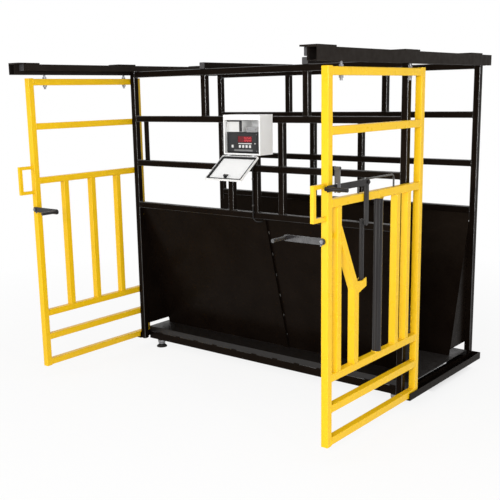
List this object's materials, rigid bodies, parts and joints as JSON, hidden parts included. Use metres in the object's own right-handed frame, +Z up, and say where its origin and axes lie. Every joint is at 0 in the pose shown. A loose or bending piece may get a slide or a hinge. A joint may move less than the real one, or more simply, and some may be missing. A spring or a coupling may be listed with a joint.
{
  "type": "livestock weighing crate",
  "caption": "Tubular walk-through crate with slanted side sheets on a weighing deck, sliding end gates, a neck lock and a boxed weight indicator",
  "frame": {"origin": "on the ground under the middle of the whole crate's box, gates open", "axes": "X along the animal's way from entry gate to exit gate, Y from the indicator side to the back, Z up"},
  "size_m": [2.367, 1.945, 2.034],
  "materials": {
    "black_paint": "satin black powder coat",
    "yellow_paint": "gloss yellow paint",
    "zinc": "bright zinc plate",
    "grey_plastic": "matt grey plastic",
    "white_paint": "light grey powder coat",
    "charcoal": "fine-grained charcoal plastic",
    "display_red": "dark red display window",
    "white_plastic": "matt white plastic",
    "rubber": "black rubber",
    "trolley_wheel": "dark nylon",
    "dark_steel": "satin dark grey paint on steel"
  },
  "bodies": {
    "crate": {"feet": "rubber", "load_cells": "zinc", "base_long": "black_paint", "base_cross": "black_paint", "deck_joists": "black_paint", "deck_tread": "black_paint", "posts": "black_paint", "side_tubes": "black_paint", "uprights": "black_paint", "cross_tubes": "black_paint", "end_tubes": "black_paint", "tube_caps": "grey_plastic", "side_sheets": "black_paint", "seam_ribs": "black_paint", "end_gussets": "black_paint", "tracks": "black_paint", "track_straps": "black_paint", "floor_guides": "black_paint", "box_shell": "white_paint", "box_hinges": "zinc", "meter": "charcoal", "display": "display_red", "power_module": "white_plastic", "lead": "rubber", "lead_fittings": "grey_plastic"},
    "left_gate": {"left_stiles": "yellow_paint", "left_rails": "yellow_paint", "left_bars": "yellow_paint", "left_caps": "yellow_paint", "left_handle": "yellow_paint", "left_hangers": "zinc", "left_latch_bolt": "zinc"},
    "left_front_wheels": {"left_wheels_front": "trolley_wheel"},
    "left_rear_wheels": {"left_wheels_back": "trolley_wheel"},
    "left_latch_arm": {"left_latch": "dark_steel"},
    "right_gate": {"right_stiles": "yellow_paint", "right_rails": "yellow_paint", "right_bars": "yellow_paint", "bent_bar": "yellow_paint", "neck_tube_fixed": "black_paint", "neck_lug": "yellow_paint", "right_caps": "yellow_paint", "right_handle": "yellow_paint", "right_hangers": "zinc", "right_latch_bolt": "zinc", "lock_bracket": "black_paint", "guide_loop": "black_paint"},
    "right_front_wheels": {"right_wheels_front": "trolley_wheel"},
    "right_rear_wheels": {"right_wheels_back": "trolley_wheel"},
    "right_latch_arm": {"right_latch": "dark_steel"},
    "neck_swing": {"neck_bar": "black_paint"},
    "pull": {"pull_bar": "black_paint"},
    "lock": {"lock_plate": "zinc"},
    "door": {"box_door": "white_paint"},
    "cam_lock": {"door_lock": "charcoal"},
    "button_1": {"key_1": "white_plastic"},
    "button_2": {"key_2": "white_plastic"},
    "button_3": {"key_3": "white_plastic"},
    "button_4": {"key_4": "white_plastic"},
    "button_5": {"key_5": "white_plastic"}
  },
  "joints": [
    {"name": "left_gate_slide", "type": "slide", "parent": "crate", "child": "left_gate", "axis": [0, 1, 0], "range_m": [0, 0.85]},
    {"name": "right_gate_slide", "type": "slide", "parent": "crate", "child": "right_gate", "axis": [0, 1, 0], "range_m": [0, 0.85]},
    {"name": "left_front_wheels_spin", "type": "hinge", "parent": "left_gate", "child": "left_front_wheels", "pos_m": [-1.1555, -0.7165, 1.985], "axis": [1, 0, 0], "range_deg": [-2755.5, 5]},
    {"name": "left_rear_wheels_spin", "type": "hinge", "parent": "left_gate", "child": "left_rear_wheels", "pos_m": [-1.1555, -0.0365, 1.985], "axis": [1, 0, 0], "range_deg": [-2755.5, 5]},
    {"name": "right_front_wheels_spin", "type": "hinge", "parent": "right_gate", "child": "right_front_wheels", "pos_m": [1.0405, -0.7165, 1.985], "axis": [1, 0, 0], "range_deg": [-2755.5, 5]},
    {"name": "right_rear_wheels_spin", "type": "hinge", "parent": "right_gate", "child": "right_rear_wheels", "pos_m": [1.0405, -0.0365, 1.985], "axis": [1, 0, 0], "range_deg": [-2755.5, 5]},
    {"name": "left_latch_lift", "type": "hinge", "parent": "left_gate", "child": "left_latch_arm", "pos_m": [-1.1475, -0.8585, 1.128], "axis": [0, -1, 0], "range_deg": [0, 70]},
    {"name": "right_latch_lift", "type": "hinge", "parent": "right_gate", "child": "right_latch_arm", "pos_m": [1.0325, -0.8585, 1.128], "axis": [0, 1, 0], "range_deg": [0, 70]},
    {"name": "neck_swing_hinge", "type": "hinge", "parent": "right_gate", "child": "neck_swing", "pos_m": [1.0405, -0.5165, 0.862], "axis": [1, 0, 0], "range_deg": [-5, 21]},
    {"name": "pull_pin", "type": "hinge", "parent": "neck_swing", "child": "pull", "pos_m": [1.0735, -0.5165, 1.383], "axis": [1, 0, 0], "range_deg": [-22, 6]},
    {"name": "lock_tilt", "type": "hinge", "parent": "right_gate", "child": "lock", "pos_m": [1.0765, -0.8015, 1.473], "axis": [1, 0, 0], "range_deg": [-8, 8]},
    {"name": "door_hinge", "type": "hinge", "parent": "crate", "child": "door", "pos_m": [-0.0415, -0.1365, 1.451], "axis": [-1, 0, 0], "range_deg": [0, 126]},
    {"name": "cam_turn", "type": "hinge", "parent": "door", "child": "cam_lock", "pos_m": [-0.0415, -0.28713, 1.33167], "axis": [0, 0.5878, -0.809], "range_deg": [0, 90]},
    {"name": "button_1_press", "type": "slide", "parent": "crate", "child": "button_1", "axis": [0, 1, 0], "range_m": [0, 0.0015], "stiffness_N_per_m": 300},
    {"name": "button_2_press", "type": "slide", "parent": "crate", "child": "button_2", "axis": [0, 1, 0], "range_m": [0, 0.0015], "stiffness_N_per_m": 300},
    {"name": "button_3_press", "type": "slide", "parent": "crate", "child": "button_3", "axis": [0, 1, 0], "range_m": [0, 0.0015], "stiffness_N_per_m": 300},
    {"name": "button_4_press", "type": "slide", "parent": "crate", "child": "button_4", "axis": [0, 1, 0], "range_m": [0, 0.0015], "stiffness_N_per_m": 300},
    {"name": "button_5_press", "type": "slide", "parent": "crate", "child": "button_5", "axis": [0, 1, 0], "range_m": [0, 0.0015], "stiffness_N_per_m": 300}
  ],
  "couplings": [
    {"joint": "left_front_wheels_spin", "follows": "left_gate_slide", "rad_per_m": -56.497},
    {"joint": "left_rear_wheels_spin", "follows": "left_gate_slide", "rad_per_m": -56.497},
    {"joint": "right_front_wheels_spin", "follows": "right_gate_slide", "rad_per_m": -56.497},
    {"joint": "right_rear_wheels_spin", "follows": "right_gate_slide", "rad_per_m": -56.497},
    {"joint": "pull_pin", "follows": "neck_swing_hinge", "ratio": -1}
  ]
}
